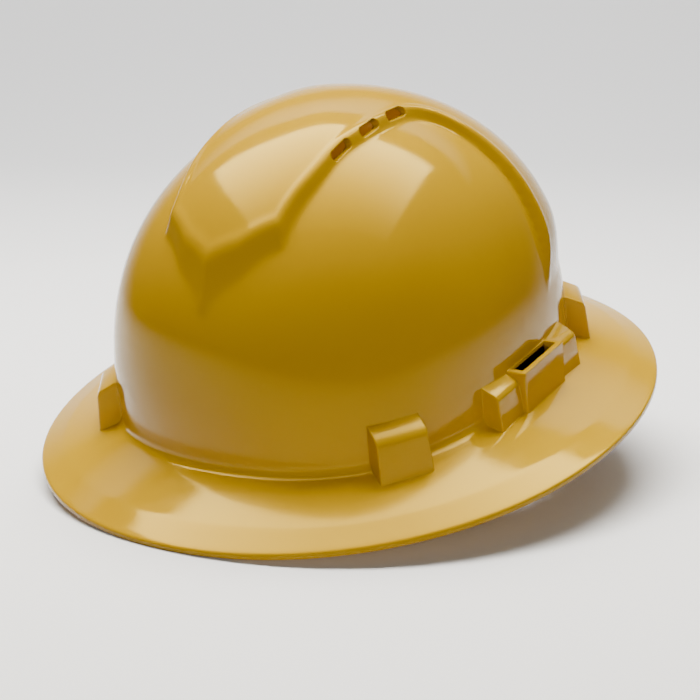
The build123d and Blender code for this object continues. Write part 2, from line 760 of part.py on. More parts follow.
# Nape cradle: the inner half of the ratchet, with two feet below
cradle_near = channel_near - cradle_wall
cradle_width = 2 * channel_near * sin(radians(cradle_span_angle)) - cradle_corner_round
screw_places = [(quarter_turn + turn * screw_angle, rise * (channel_half + screw_boss_radius))
                for turn in (1, -1) for rise in (1, -1)]
with BuildPart() as nape_cradle:
    with BuildSketch(rear):
        with Locations((0, (cradle_top - cradle_middle_drop) / 2)):
            RectangleRounded(cradle_width, cradle_top + cradle_middle_drop, cradle_corner_round)
        with Locations((cradle_foot_x, -cradle_foot_drop), (-cradle_foot_x, -cradle_foot_drop)):
            RectangleRounded(2 * cradle_foot_radius, cradle_foot_drop, cradle_foot_radius - slip,
                             align=(Align.CENTER, Align.MIN))
    extrude(amount=channel_far)
    add(nape_plate(cradle_near, channel_near, quarter_turn - cradle_span_angle,
                   quarter_turn + cradle_span_angle, -cradle_foot_drop, cradle_top),
        mode=Mode.INTERSECT)
    for angle, rise in screw_places:
        facing = nape_facing(angle)
        add(disc(facing, cradle_near - slip, channel_near + slip, screw_radius + running_gap,
                 (0, rise)), mode=Mode.SUBTRACT)
        add(disc(facing, cradle_near - slip, cradle_near + screw_head_wall + running_gap,
                 screw_head_radius + slip, (0, rise)), mode=Mode.SUBTRACT)
    add(disc(rear, cradle_near - slip, channel_near + slip, pinion_tail_radius + running_gap),
        mode=Mode.SUBTRACT)
nape_cradle.part.label = "nape_cradle"

# Ratchet housing: the outer half, a channel for both arms with a hub for the knob
housing_far = channel_far + housing_wall
hub_top = housing_far + hub_rise
with BuildPart() as ratchet_housing:
    span_start = quarter_turn - housing_span_angle
    span_end = quarter_turn + housing_span_angle
    rim = channel_half + housing_rim
    add(nape_plate(channel_near + running_gap, housing_far, span_start, span_end, -rim, rim))
    for angle, rise in screw_places:
        add(disc(nape_facing(angle), channel_near + slip, housing_far - slip, screw_boss_radius,
                 (0, rise)))
    add(disc(rear, channel_far, hub_top, hub_radius))
    add(nape_plate(channel_near - slip, channel_far, span_start - channel_end_angle,
                   span_end + channel_end_angle, -channel_half, channel_half), mode=Mode.SUBTRACT)
    add(disc(rear, channel_near, hub_top + slip, pinion_stem_radius + running_gap),
        mode=Mode.SUBTRACT)
    for angle, rise in screw_places:
        add(disc(nape_facing(angle), channel_near - slip, cradle_near + screw_length + slip,
                 screw_radius + running_gap, (0, rise)), mode=Mode.SUBTRACT)
    with BuildSketch(rear.offset(hub_top)):
        with PolarLocations(detent_ring_radius, detent_count):
            Circle(detent_radius)
    extrude(amount=-detent_depth, mode=Mode.SUBTRACT)
ratchet_housing.part.label = "ratchet_housing"

# Housing screws: four, from inside the cradle
with BuildPart() as housing_screws:
    for angle, rise in screw_places:
        facing = nape_facing(angle)
        add(disc(facing, cradle_near, cradle_near + screw_head_wall, screw_head_radius, (0, rise)))
        add(disc(facing, cradle_near, cradle_near + screw_length, screw_radius, (0, rise)))
        with BuildSketch(facing.offset(cradle_near)):
            with Locations((0, rise)):
                RegularPolygon(screw_drive_radius, 6)
        extrude(amount=screw_drive_depth, mode=Mode.SUBTRACT)
housing_screws.part.label = "housing_screws"

# Pinion: between the two racks, with its stem out through the hub to the knob
stem_top = hub_top + slip
hex_top = stem_top + pinion_hex_length
with BuildPart() as pinion:
    with BuildSketch(rear.offset(channel_near + slip)):
        with BuildLine():
            Polyline(*pinion_outline(), close=True)
        make_face()
    extrude(amount=channel_far - channel_near - 2 * slip)
    add(disc(rear, cradle_near + slip, channel_near + 2 * slip, pinion_tail_radius))
    add(disc(rear, channel_far - 2 * slip, stem_top, pinion_stem_radius))
    with BuildSketch(rear.offset(stem_top)):
        RegularPolygon(pinion_hex_radius, 6)
    extrude(amount=pinion_hex_length)
    add(disc(rear, hex_top - screw_length, hex_top + slip, knob_screw_radius + running_gap),
        mode=Mode.SUBTRACT)
pinion.part.label = "pinion"

# Knob: scalloped, hollow behind for the hub and the click spring
knob_near = housing_far + seat_gap
knob_far = knob_near + knob_depth
knob_seat = hex_top + slip + knob_floor_wall
with BuildPart() as knob:
    add(disc(rear, knob_near, knob_far, knob_radius))
    with BuildSketch(rear.offset(knob_near)):
        with PolarLocations(knob_radius + knob_grip_shift, knob_grips):
            Circle(knob_grip_radius)
    extrude(amount=knob_depth, mode=Mode.SUBTRACT)
    face = knob.faces().filter_by(rear).sort_by(Axis(rear.origin, rear.z_dir))[-1]
    fillet(face.edges(), knob_edge_round)
    add(disc(rear, knob_near, knob_near + knob_cavity_depth, knob_cavity_radius),
        mode=Mode.SUBTRACT)
    with BuildSketch(rear.offset(knob_near)):
        RegularPolygon(pinion_hex_radius + running_gap, 6)
    extrude(amount=hex_top + slip - knob_near, mode=Mode.SUBTRACT)
    add(disc(rear, hex_top, knob_far, knob_screw_radius + running_gap), mode=Mode.SUBTRACT)
    add(disc(rear, knob_seat, knob_far, knob_screw_head_radius + slip), mode=Mode.SUBTRACT)
knob.part.label = "knob"

# Click spring: a thin plate on the stem with a bump on each of its tongues
click_low = hub_top + slip + detent_radius - detent_depth
with BuildPart() as click_spring:
    with BuildSketch(rear.offset(click_low)):
        Circle(click_radius)
        RegularPolygon(pinion_hex_radius + running_gap, 6, mode=Mode.SUBTRACT)
        with PolarLocations(0, click_tongues):
            SlotArc(CenterArc((0, 0), (pinion_hex_radius + detent_ring_radius) / 2, 0,
                              click_slot_angle), click_slot_width, mode=Mode.SUBTRACT)
    extrude(amount=click_wall)
    with BuildSketch(rear.offset(click_low - detent_radius + detent_depth)):
        with PolarLocations(detent_ring_radius, click_tongues):
            Circle(detent_radius - slip)
    extrude(amount=click_wall)
click_spring.part.label = "click_spring"

# Knob screw
with BuildPart() as knob_screw:
    add(disc(rear, knob_seat, knob_seat + knob_screw_head_wall, knob_screw_head_radius))
    add(disc(rear, hex_top - screw_length + slip, knob_seat + slip, knob_screw_radius))
    with BuildSketch(rear.offset(knob_seat + knob_screw_head_wall)):
        RegularPolygon(screw_drive_radius, 6)
    extrude(amount=-screw_drive_depth, mode=Mode.SUBTRACT)
knob_screw.part.label = "knob_screw"

# Nape pad: a soft pad on the inner face of the cradle
with BuildPart() as nape_pad:
    add(nape_plate(cradle_near - seat_gap - nape_pad_wall, cradle_near - seat_gap,
                   quarter_turn - nape_pad_span_angle, quarter_turn + nape_pad_span_angle,
                   nape_pad_bottom, nape_pad_top))
    fillet(nape_pad.edges(), pad_round)
nape_pad.part.label = "nape_pad"

# Rest on a table: tipped onto the front of the brim and the cradle's two feet
brim_floor = -brim_drop - brim_thickness
foot_round = cradle_foot_radius - slip
tip = 0
for settling in range(settling_steps):
    # The foot's lowest point lies a little inside its middle, because the cradle curves
    behind = sqrt(channel_near**2 - cradle_foot_x**2)
    lean = atan(tan(radians(nape_drop_angle) - tip) * cradle_foot_x / behind)
    foot_x = cradle_foot_x - slip - foot_round * sin(lean)
    foot = nape.from_local_coords(Vector(
        foot_x, sqrt(channel_near**2 - foot_x**2),
        foot_round * (1 - cos(lean)) - cradle_foot_drop))
    tip = atan((brim_floor - foot.Z) / (foot.Y + brim_half_length))
floor_z = -brim_half_length * sin(tip) + brim_floor * cos(tip)
back_shift = (brim_drop + brim_drop + brim_thickness) * sin(tip) / 2
at_rest = Pos(0, -back_shift, -floor_z) * Rot(degrees(tip), 0, 0)

pieces = [shell, headband, brow_pad, *keys.values(), *straps.values(), crown_pad,
          *pins.values(), *arms.values(), nape_cradle, ratchet_housing, housing_screws,
          pinion, knob, click_spring, knob_screw, nape_pad]
for piece in pieces:
    name = piece.part.label
    placed = piece.part.moved(at_rest)
    placed.label = name
    print(name, round(placed.volume), placed.is_valid, len(placed.solids()), placed.bounding_box())
    export_step(placed, "parts/" + name + ".step")
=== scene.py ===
import bpy
import bmesh
import math
import numpy as np
from mathutils import Matrix, Vector


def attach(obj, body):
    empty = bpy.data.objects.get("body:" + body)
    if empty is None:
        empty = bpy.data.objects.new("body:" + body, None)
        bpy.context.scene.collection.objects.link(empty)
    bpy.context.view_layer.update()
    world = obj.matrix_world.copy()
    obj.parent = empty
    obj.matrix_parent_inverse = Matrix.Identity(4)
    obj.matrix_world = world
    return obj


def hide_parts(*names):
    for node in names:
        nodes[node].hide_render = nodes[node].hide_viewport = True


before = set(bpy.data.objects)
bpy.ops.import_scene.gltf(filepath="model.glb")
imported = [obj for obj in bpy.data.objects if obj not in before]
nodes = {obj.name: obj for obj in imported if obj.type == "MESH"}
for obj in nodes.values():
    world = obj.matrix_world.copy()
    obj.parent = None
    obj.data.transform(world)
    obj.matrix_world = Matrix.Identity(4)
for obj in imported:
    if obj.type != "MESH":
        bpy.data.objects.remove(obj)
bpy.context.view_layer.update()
scene = bpy.context.scene
print("frame loaded")

# Camera and studio
studio = {
    "target": (0.0, -0.00305, 0.04724),  # where the crown meets the brim, on the hat's axis
    "distance": 0.7788,
    "azimuth": 33.11,
    "elevation": 13.62,
    "lens": 84.27,
    "shift": (0.00104, 0.0203),
    "clipStart": 0.02,
    "worldColour": (0.80, 0.81, 0.83),
    "worldStrength": 0.07,
    "softboxFade": (0.1, 1.9),  # the softbox's strength at its near and its far edge
    "floorColour": (0.86, 0.855, 0.85),
    "floorTone": 0.985,
    "floorHalf": 3.0,
    "paintedShadeEdge": (-0.50, -0.29),  # painted shade: towards the camera the floor's colour is painted darker, as the shade of a dark room
    "paintedShadeDarkness": 0.08,
    "sweepStart": 1.2,
    "sweepRadius": 0.9,
    "sweepSteps": 16,
    "sweepTop": 2.6,
}


def aimed(position, target):
    back = (Vector(position) - Vector(target)).normalized()
    return back.to_track_quat("Z", "Y")


azimuth = math.radians(studio["azimuth"])
elevation = math.radians(studio["elevation"])
towards = Vector((math.sin(azimuth) * math.cos(elevation), -math.cos(azimuth) * math.cos(elevation),
                  math.sin(elevation)))
camera = bpy.data.objects.new("camera", bpy.data.cameras.new("camera"))
scene.collection.objects.link(camera)
camera.location = Vector(studio["target"]) + towards * studio["distance"]
camera.rotation_mode = "QUATERNION"
camera.rotation_quaternion = aimed(camera.location, studio["target"])
camera.data.lens = studio["lens"]
camera.data.shift_x, camera.data.shift_y = studio["shift"]
camera.data.clip_start = studio["clipStart"]
scene.camera = camera

# Lamps stand right of, behind and above the hat as the camera sees it, and face their target.
# One that gives shine shows in reflections only, and one that gives light shows in none.
lights = {
    "overhead_softbox": {
        "place": (0.0, -0.05, 1.30), "target": (0.0, -0.05, 0.0), "size": (2.05, 1.3),
        "power": 100.0, "spread": 180, "colour": (1.0, 0.84, 0.40), "gives": "shine"},
    "key_light": {
        "place": (-0.15, 0.28, 1.30), "target": (0.0, 0.0, 0.0), "size": (1.5, 0.7),
        "power": 32.0, "spread": 120, "colour": (1.0, 0.985, 0.955), "gives": "light"},
    "front_fill": {
        "place": (0.10, -1.40, 0.32), "target": (0.0, 0.0, 0.10), "size": (2.4, 0.5),
        "power": 7.0, "spread": 120, "colour": (1.0, 0.95, 0.85), "gives": "light"},
    "floor_bounce": {
        "place": (0.05, 0.0, 0.001), "target": (0.05, 0.0, 1.0), "size": (0.7, 0.5),
        "power": 0.35, "spread": 180, "colour": (1.0, 0.75, 0.40), "gives": "light"},
    "shell_glow": {  # stands for the light that comes through the thin plastic
        "place": (0.0, 0.0, 0.085), "target": (0.0, 0.0, 1.0), "size": (0.11, 0.11),
        "power": 0.06, "spread": 180, "colour": (1.0, 0.60, 0.10), "gives": "light"},
    "backdrop_lamp": {
        "place": (0.0, 1.35, 1.35), "target": (0.0, 1.60, 0.0), "size": (3.2, 1.0),
        "power": 30.0, "spread": 130, "colour": (1.0, 1.0, 1.0), "gives": "both"},
}
rightward = Vector((math.cos(azimuth), math.sin(azimuth), 0))
backward = Vector((-math.sin(azimuth), math.cos(azimuth), 0))


def studioPlace(right, behind, above):
    return rightward * right + backward * behind + Vector((0, 0, above))


for name, look in lights.items():
    lamp = bpy.data.lights.new(name, "AREA")
    lamp.shape = "RECTANGLE"
    lamp.size, lamp.size_y = look["size"]
    lamp.energy = look["power"]
    lamp.spread = math.radians(look["spread"])
    lamp.color = look["colour"]
    holder = bpy.data.objects.new(name, lamp)
    scene.collection.objects.link(holder)
    back = (studioPlace(*look["place"]) - studioPlace(*look["target"])).normalized()
    upward = back.cross(rightward).normalized()
    holder.matrix_world = Matrix((rightward, upward, back)).transposed().to_4x4()
    holder.location = studioPlace(*look["place"])
    holder.visible_diffuse = look["gives"] != "shine"
    holder.visible_glossy = look["gives"] != "light"
    holder.visible_camera = False

# The softbox is brightest behind the hat and fades towards the camera, as its reflection does
softbox = bpy.data.lights["overhead_softbox"]
softbox.use_nodes = True
glow = softbox.node_tree
spotOn = glow.nodes.new("ShaderNodeNewGeometry")
spotParts = glow.nodes.new("ShaderNodeSeparateXYZ")
fade = glow.nodes.new("ShaderNodeMapRange")
fade.interpolation_type = "SMOOTHSTEP"
fade.inputs["To Min"].default_value, fade.inputs["To Max"].default_value = studio["softboxFade"]
glow.links.new(spotOn.outputs["Parametric"], spotParts.inputs[0])
glow.links.new(spotParts.outputs["Y"], fade.inputs["Value"])
glow.links.new(fade.outputs[0], glow.nodes["Emission"].inputs["Strength"])

world = bpy.data.worlds.new("studio")
world.use_nodes = True
world.node_tree.nodes["Background"].inputs[0].default_value = (*studio["worldColour"], 1)
world.node_tree.nodes["Background"].inputs[1].default_value = studio["worldStrength"]
scene.world = world


# Shader maths: a socket that can be added, subtracted, multiplied and passed on
class Wire:
    def __init__(self, tree, socket):
        self.tree = tree
        self.socket = socket

    def combined(self, operation, first, second):
        return wired(self.tree, "ShaderNodeMath", {0: first, 1: second}, operation=operation)

    def __add__(self, other):
        return self.combined("ADD", self, other)

    def __radd__(self, other):
        return self.combined("ADD", other, self)

    def __sub__(self, other):
        return self.combined("SUBTRACT", self, other)

    def __rsub__(self, other):
        return self.combined("SUBTRACT", other, self)

    def __mul__(self, other):
        return self.combined("MULTIPLY", self, other)

    def __rmul__(self, other):
        return self.combined("MULTIPLY", other, self)

    def ramp(self, low, high, start=0.0, end=1.0):
        return wired(self.tree, "ShaderNodeMapRange", {0: self, 1: low, 2: high, 3: start, 4: end})


# Any node: its settings are set first, and its inputs are wires or values
def wired(tree, kind, inputs, output=0, **settings):
    node = tree.nodes.new(kind)
    for key, value in settings.items():
        setattr(node, key, value)
    for key, value in inputs.items():
        if isinstance(value, Wire):
            tree.links.new(value.socket, node.inputs[key])
        else:
            node.inputs[key].default_value = value
    return Wire(tree, node.outputs[output])


# A material in the making, with its shader and the piece's own coordinates
class Surface:
    def __init__(self, name, **constants):
        self.material = bpy.data.materials.new(name)
        self.material.use_nodes = True
        self.tree = self.material.node_tree
        self.shader = self.tree.nodes["Principled BSDF"]
        for key, value in constants.items():
            self.shader.inputs[key.replace("_", " ")].default_value = value
        self.place = self.node("ShaderNodeTexCoord", {}, "Object")
        self.normal = None

    def node(self, kind, inputs, output=0, **settings):
        return wired(self.tree, kind, inputs, output, **settings)

    def along(self, axis):
        return self.node("ShaderNodeSeparateXYZ", {0: self.place}, axis)

    def noise(self, scale, detail=2.0, roughness=0.5):
        return self.node("ShaderNodeTexNoise", {"Vector": self.place, "Scale": scale, "Detail": detail,
                                                "Roughness": roughness}, "Fac")

    def mix(self, share, first, second):
        first, second = (value if isinstance(value, Wire) else (*value, 1) for value in (first, second))
        return self.node("ShaderNodeMix", {0: share, 6: first, 7: second}, 2, data_type="RGBA")

    def set(self, **wires):
        for key, value in wires.items():
            self.tree.links.new(value.socket, self.shader.inputs[key.replace("_", " ")])

    def bump(self, height, distance):  # a second bump lies on top of the first
        inputs = {"Height": height, "Distance": distance}
        if self.normal:
            inputs["Normal"] = self.normal
        self.normal = self.node("ShaderNodeBump", inputs)
        self.set(Normal=self.normal)


def screenColour(*parts):  # a colour given as on a screen, from 0 to 255
    return tuple(((part / 255 + 0.055) / 1.055) ** 2.4 for part in parts)


def lighter(shade, times, more=0.0):
    return tuple(part * times + more for part in shade)


# Glossy moulded yellow: faint orange peel, slow drift of colour and a few handling marks
def shellPlastic():
    look = {
        "bright": (0.50, 0.285, 0.0), "deep": (0.46, 0.255, 0.0), "driftScale": 9.0,
        "shine": (1.0, 0.76, 0.22, 1.0), "rough": (0.07, 0.12), "roughScale": 140.0,
        "scuff": 0.05, "scuffScale": 60.0, "peel": 0.000010, "peelScale": 260.0,
        "edge": 0.0009,  # how far the light rolls over each sharp edge
        "depth": 0.003, "depthShare": 0.05, "depthColour": (1.0, 0.55, 0.08),
    }
    surface = Surface("shell_plastic", IOR=1.40, Specular_Tint=look["shine"],
                      Subsurface_Weight=look["depthShare"], Subsurface_Scale=look["depth"],
                      Subsurface_Radius=look["depthColour"])
    drift = surface.noise(look["driftScale"]).ramp(0.35, 0.65)
    fine = surface.noise(look["roughScale"], 3.0, 0.6).ramp(0.3, 0.7, *look["rough"])
    scuffs = surface.noise(look["scuffScale"], 5.0, 0.75).ramp(0.60, 0.72)
    surface.set(Base_Color=surface.mix(drift, look["deep"], look["bright"]),
                Roughness=fine + scuffs * look["scuff"])
    surface.normal = surface.node("ShaderNodeBevel", {"Radius": look["edge"]}, samples=6)
    surface.bump(surface.noise(look["peelScale"], 1.0), look["peel"])
    return surface.material


# Satin nylon or acetal with a fine moulded grain and rubbed high spots
def mouldedNylon(name, shade, roughness):
    look = {"rubbed": (1.7, 0.004), "rubScale": 45.0, "smoother": 0.06, "rougher": 0.08,
            "grain": 0.00006, "grainScale": 900.0}
    surface = Surface(name, IOR=1.49)
    wear = surface.noise(look["rubScale"], 4.0, 0.65)
    surface.set(Base_Color=surface.mix(wear.ramp(0.35, 0.75), shade, lighter(shade, *look["rubbed"])),
                Roughness=wear.ramp(0.3, 0.7, roughness - look["smoother"], roughness + look["rougher"]))
    surface.bump(surface.noise(look["grainScale"]), look["grain"])
    return surface.material


# Woven webbing: ribs across and fine warps along, on the piece's own UV map
def webbingCloth(name, shade):
    look = {"warpScale": 180.0, "weftScale": 260.0, "weave": 0.00035, "warpShare": 0.6,
            "fuzz": 0.0001, "fuzzScale": 1400.0, "worn": (2.4, 0.006)}
    surface = Surface(name, Roughness=0.85, Sheen_Weight=0.25, Sheen_Roughness=0.5)
    spot = surface.node("ShaderNodeUVMap", {})
    warp, weft = (surface.node("ShaderNodeTexWave", {"Vector": spot, "Scale": scale}, "Fac",
                               bands_direction=axis)
                  for scale, axis in ((look["warpScale"], "X"), (look["weftScale"], "Y")))
    fuzz = surface.noise(look["fuzzScale"], 3.0, 0.7)
    surface.set(Base_Color=surface.mix(warp * 0.5 + fuzz * 0.5, shade, lighter(shade, *look["worn"])))
    surface.bump(warp * look["warpShare"] + weft * (1 - look["warpShare"]), look["weave"])
    surface.bump(fuzz, look["fuzz"])
    return surface.material


# Looped sweatband cloth over foam
def terryCloth(name, shade):
    look = {"loopScale": 750.0, "loop": 0.0006, "tips": (2.2, 0.01), "patchScale": 35.0,
            "patchShade": 0.6, "patchShare": 0.35}
    surface = Surface(name, Roughness=0.95, Sheen_Weight=0.5, Sheen_Roughness=0.6)
    loops = surface.node("ShaderNodeTexVoronoi", {"Vector": surface.place, "Scale": look["loopScale"]},
                         "Distance")
    patches = surface.noise(look["patchScale"], 3.0).ramp(0.3, 0.7, 0.0, look["patchShare"])
    colour = surface.mix(loops.ramp(0.0, 0.7), lighter(shade, *look["tips"]), shade)
    surface.set(Base_Color=surface.mix(patches, colour, lighter(shade, look["patchShade"])))
    surface.bump(1 - loops.ramp(0.0, 0.6), look["loop"])
    return surface.material


def platedSteel():
    look = {"dark": (0.42, 0.42, 0.40), "pale": (0.62, 0.61, 0.58), "rough": (0.24, 0.42),
            "streakScale": 700.0, "streak": 0.00002}
    surface = Surface("plated_steel", Metallic=1.0)
    streaks = surface.noise(look["streakScale"], 4.0, 0.7)
    surface.set(Base_Color=surface.mix(streaks, look["dark"], look["pale"]),
                Roughness=streaks.ramp(0.3, 0.7, *look["rough"]))
    surface.bump(streaks, look["streak"])
    return surface.material


# The studio's floor and backdrop: a smooth pale sheet with the faintest tone in it, and painted shade that
# darkens the floor towards the camera
def studioPaper():
    surface = Surface("studio_paper", Roughness=0.6, IOR=1.35)
    pale = studio["floorColour"]
    behind = surface.along(0) * backward.x + surface.along(1) * backward.y
    sheet = surface.mix(surface.noise(0.8), pale, lighter(pale, studio["floorTone"]))
    # painted shade: towards the camera the floor's colour is painted darker
    paintedShade = lighter(pale, studio["paintedShadeDarkness"])
    surface.set(Base_Color=surface.mix(behind.ramp(*studio["paintedShadeEdge"]), paintedShade, sheet))
    return surface.material


def pieceFrom(name, mesh):
    data = bpy.data.meshes.new(name)
    mesh.to_mesh(data)
    mesh.free()
    piece = bpy.data.objects.new(name, data)
    scene.collection.objects.link(piece)
    return piece


def cornersOf(made):
    return [part for part in made if isinstance(part, bmesh.types.BMVert)]


# The floor's side view, drawn out across the studio, with a sweep far behind
def studioSweep():
    half, start, radius = studio["floorHalf"], studio["sweepStart"], studio["sweepRadius"]
    profile = [(-half, 0.0)]
    for step in range(studio["sweepSteps"] + 1):
        turn = math.pi / 2 * step / studio["sweepSteps"]
        profile.append((start + radius * math.sin(turn), radius * (1 - math.cos(turn))))
    profile.append((start + radius, studio["sweepTop"]))
    mesh = bmesh.new()
    line = [mesh.verts.new(studioPlace(half, behind, above)) for behind, above in profile]
    edges = [mesh.edges.new(pair) for pair in zip(line, line[1:])]
    made = bmesh.ops.extrude_edge_only(mesh, edges=edges)["geom"]
    bmesh.ops.translate(mesh, verts=cornersOf(made), vec=rightward * -2 * half)
    floor = pieceFrom("studio_floor", mesh)
    floor.data.shade_smooth()
    floor.data.materials.append(studioPaper())
    floor.visible_diffuse = False  # the brightly lit paper shouldn't flood the hat from below


studioSweep()
print("studio made")

# The hat's own level frame, in millimetres, and how it is tipped to stand on the table
rest = {"tip": 11.68178, "back": 3.0573, "lift": 47.2435}
tipTurn = Matrix.Rotation(math.radians(rest["tip"]), 4, "X")
restPlace = Matrix.Translation((0, -rest["back"] / 1000, rest["lift"] / 1000)) @ tipTurn
restSpin = np.array(restPlace.to_3x3())
restShift = np.array(restPlace.translation)
up = Vector((0, 0, 1))


def placed(points):  # from the level hat's millimetres to the standing hat's metres
    return np.asarray(points, float) / 1000 @ restSpin.T + restShift


# A mesh in the level hat's millimetres becomes a piece that rides on a body
def hatPiece(name, mesh, body, material, smoothAngle):
    for vertex in mesh.verts:
        vertex.co = Vector(placed(vertex.co[:]))
    piece = pieceFrom(name, mesh)
    piece.data.shade_smooth()
    piece.data.set_sharp_from_angle(angle=math.radians(smoothAngle))
    piece.data.materials.append(material)
    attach(piece, body)
    return piece


# Shell: sizes of the hat's outer and inner skins
shellSizes = {
    "crown": (94.5, 111.5, 128.5),  # half width, half length and height of the plain crown
    "crownFull": 0.676, "sidePower": 2.59, "topPower": 1.85,
    "wall": 2.5, "footRound": 0.8, "innerStart": 2.0,
    "rootRound": 4.5, "rootShare": 0.82,  # and how much of that each side of the root takes
    "brim": (140.0, 154.0),  # half width and half length
    "brimFull": 0.579, "brimDrop": 13.8, "thick": 2.6, "rimRound": 0.9, "land": 1.3,
    "lipWidth": 13.0, "lipDrop": 5.0, "lipRound": 1.2, "lipShare": 0.75,
    "rise": 4.0, "sink": 1.5, "capeLow": 0.19, "capeHigh": 0.49,  # the ridge comes up out of the crown
    "datum": 65.0, "wallAngle": 20.0,  # its walls lean back from its plan at this height
    "tip": 100.6, "tipAngle": 8.0,  # a flat cut across its nose
    "edgeRound": 0.5, "bead": 0.45, "beadIn": 1.4, "beadWide": 1.1,
    "search": (-2.0, 8.0), "halvings": 18, "probe": 4.0,  # how the ridge's surface is found
    "columns": 432, "crownRows": 132, "innerRows": 30,
    "rows": {"root": 6, "slope": 12, "lip": 3, "edge": 5, "rim": 4, "corner": 3, "under": 4, "inward": 8,
             "foot": 3},
}
ridgePlan = [  # half outline at the datum height: x, y and corner radius
    (0.0, -101.2, 3.0), (17.5, -97.0, 40.0), (38.0, -86.6, 6.0), (50.3, -58.0, 80.0),
    (56.7, -22.0, 140.0), (58.5, 15.0, 16.0), (114.0, 76.0, 0.0), (114.0, 150.0, 0.0)]


def ovalQuarter(fullness, share):
    other = 1 - share
    across = other**3 + 3 * other**2 * share + 3 * other * share**2 * fullness
    along = 3 * other**2 * share * fullness + 3 * other * share**2 + share**3
    return across, along


# Even steps round the crown's oval, as each quarter's shares and its signs
def columnShares(columns, samples=2001):
    fine = np.linspace(0, 1, samples)
    across, along = ovalQuarter(shellSizes["crownFull"], fine)
    width, length, _ = shellSizes["crown"]
    run = np.concatenate([[0], np.cumsum(np.hypot(np.diff(across) * width, np.diff(along) * length))])
    quarter = columns // 4
    steps = np.interp(np.linspace(0, run[-1], quarter + 1), run, fine)
    shares, signX, signY = [], [], []
    for turnX, turnY, backwards in ((1, 1, False), (-1, 1, True), (-1, -1, False), (1, -1, True)):
        part = steps[::-1] if backwards else steps
        shares += list(part[:-1])
        signX += [turnX] * quarter
        signY += [turnY] * quarter
    return np.array(shares), np.array(signX, float), np.array(signY, float)


columnShare, columnX, columnY = columnShares(shellSizes["columns"])


def ring(halfWidth, halfLength, fullness, height):  # one ring of points, a column each
    across, along = ovalQuarter(fullness, columnShare)
    return np.stack([halfWidth * across * columnX, halfLength * along * columnY,
                     np.broadcast_to(height, across.shape)], -1)


# The points of an arc that rounds an outline's corner
def cornerArc(before, here, after, radius, steps):
    before, here, after = (np.array(point) for point in (before, here, after))
    inward = (before - here) / np.linalg.norm(before - here)
    outward = (after - here) / np.linalg.norm(after - here)
    half = math.acos(float(np.clip(inward @ outward, -1, 1))) / 2
    reach = radius / math.tan(half)
    centre = here + (inward + outward) / np.linalg.norm(inward + outward) * radius / math.sin(half)
    start, end = here + inward * reach - centre, here + outward * reach - centre
    first = math.atan2(start[1], start[0])
    turn = (math.atan2(end[1], end[0]) - first + math.pi) % (2 * math.pi) - math.pi
    angles = [first + turn * step / steps for step in range(steps + 1)]
    return [centre + radius * np.array((math.cos(angle), math.sin(angle))) for angle in angles]


# The ridge's plan as a closed line, with its corners rounded
def ridgeOutline(steps=12):
    outline = ridgePlan + [(-x, y, radius) for x, y, radius in reversed(ridgePlan) if x]
    points = []
    for place, (x, y, radius) in enumerate(outline):
        if radius:
            after = outline[(place + 1) % len(outline)]
            points += cornerArc(outline[place - 1][:2], (x, y), after[:2], radius, steps)
        else:
            points.append(np.array((x, y)))
    return np.array(points)


ridgeLine = ridgeOutline()


# How far points lie inside the ridge's plan, or less than 0 outside it
def insideRidge(points):
    flat = points.reshape(-1, 3)[:, :2]
    best = np.full(len(flat), np.inf)
    crossings = np.zeros(len(flat), bool)
    for here, ahead in zip(ridgeLine, np.roll(ridgeLine, -1, 0)):
        edge = ahead - here
        share = np.clip(((flat - here) @ edge) / (edge @ edge), 0, 1)
        best = np.minimum(best, np.hypot(*(flat - here - share[:, None] * edge).T))
        spans = (here[1] > flat[:, 1]) != (ahead[1] > flat[:, 1])
        with np.errstate(divide="ignore", invalid="ignore"):
            where = here[0] + (flat[:, 1] - here[1]) * edge[0] / edge[1]
        crossings ^= spans & (flat[:, 0] < where)
    return np.where(crossings, best, -best).reshape(points.shape[:-1])


def softMax(first, second, width):  # the greater of two, blended where they are nearly alike
    blend = np.clip(0.5 + 0.5 * (first - second) / width, 0, 1)
    return second + (first - second) * blend + width * blend * (1 - blend)


# The plain crown's points, and the way that its surface faces at each
def plainCrown(inset, rows, start):
    width, length, height = (size - inset for size in shellSizes["crown"])
    turns = np.linspace(math.asin(start / height), math.pi / 2, rows + 1)[:-1]
    heights = np.sin(turns)[:, None]
    reach = (1 - heights ** shellSizes["sidePower"]) ** (1 / shellSizes["topPower"])
    across, along = ovalQuarter(shellSizes["crownFull"], columnShare)
    base = np.stack([width * reach * across * columnX, length * reach * along * columnY,
                     np.broadcast_to(height * heights, (rows, len(columnShare)))], -1)
    aroundStep = np.roll(base, -1, 1) - np.roll(base, 1, 1)
    normal = np.cross(aroundStep, np.gradient(base, axis=0))
    normal /= np.linalg.norm(normal, axis=-1, keepdims=True)
    shares = heights, reach * across * columnX, reach * along * columnY
    return base, normal, height, shares


